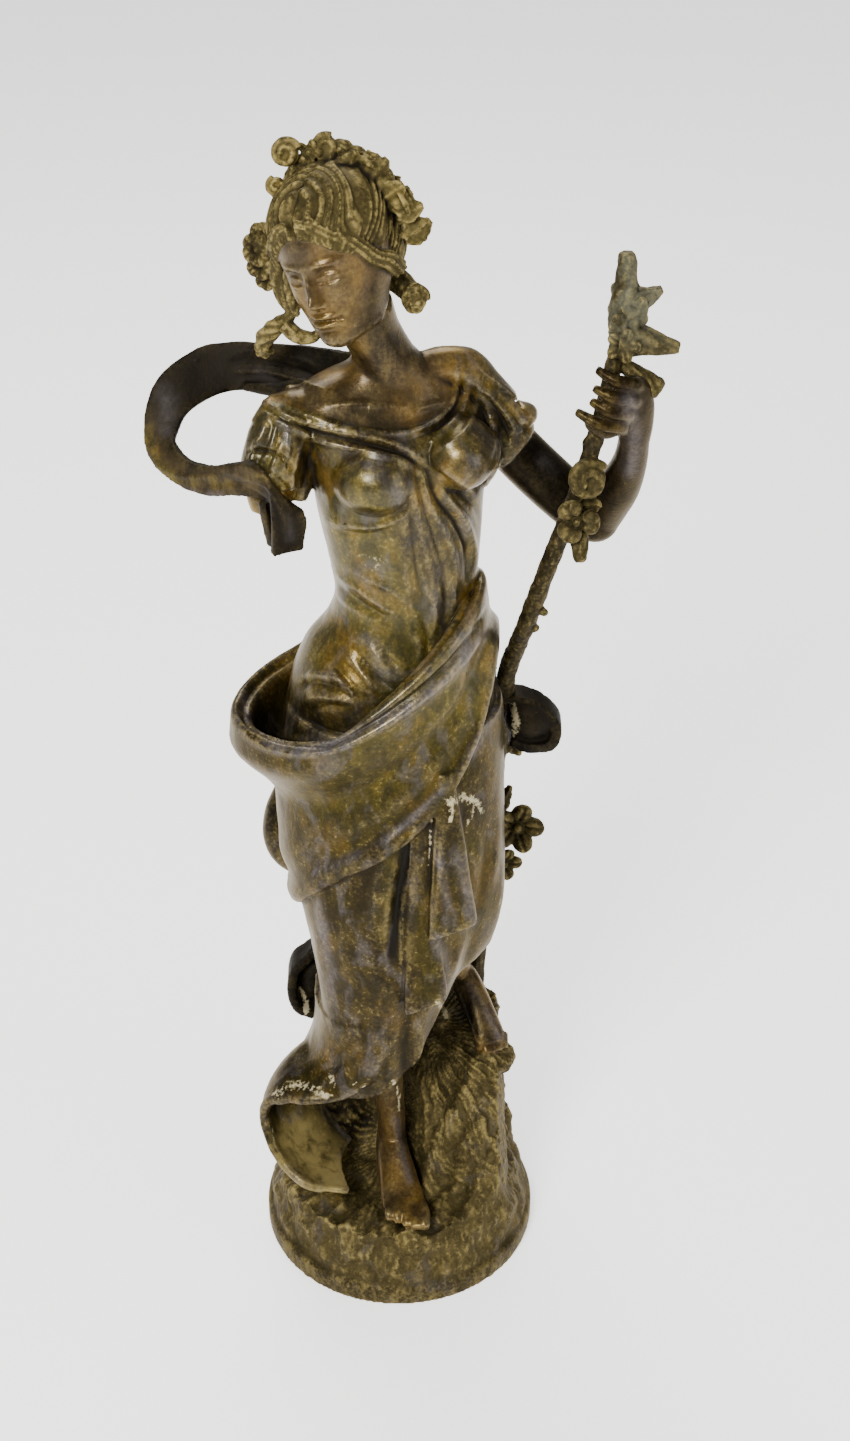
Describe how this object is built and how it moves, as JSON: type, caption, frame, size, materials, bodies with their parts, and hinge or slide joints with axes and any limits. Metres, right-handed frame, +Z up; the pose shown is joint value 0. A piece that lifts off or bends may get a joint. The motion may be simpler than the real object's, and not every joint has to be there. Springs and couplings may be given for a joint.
{
  "type": "maiden statue",
  "caption": "Cast metal statue of a draped maiden with flowers in her hair, standing on a rocky plinth and holding a tall flowering branch.",
  "frame": {"origin": "centre of the plinth's underside", "axes": "+Z up through the figure, -Y towards the viewer whom her chest faces, +X to the viewer's right"},
  "size_m": [0.2128, 0.1419, 0.56],
  "materials": {
    "figure_bronze": "brown and olive patina with worn gilding",
    "branch_bronze": "dull dusty patina"
  },
  "bodies": {
    "root": {"maiden": "figure_bronze", "flowering_branch": "branch_bronze"}
  },
  "joints": []
}
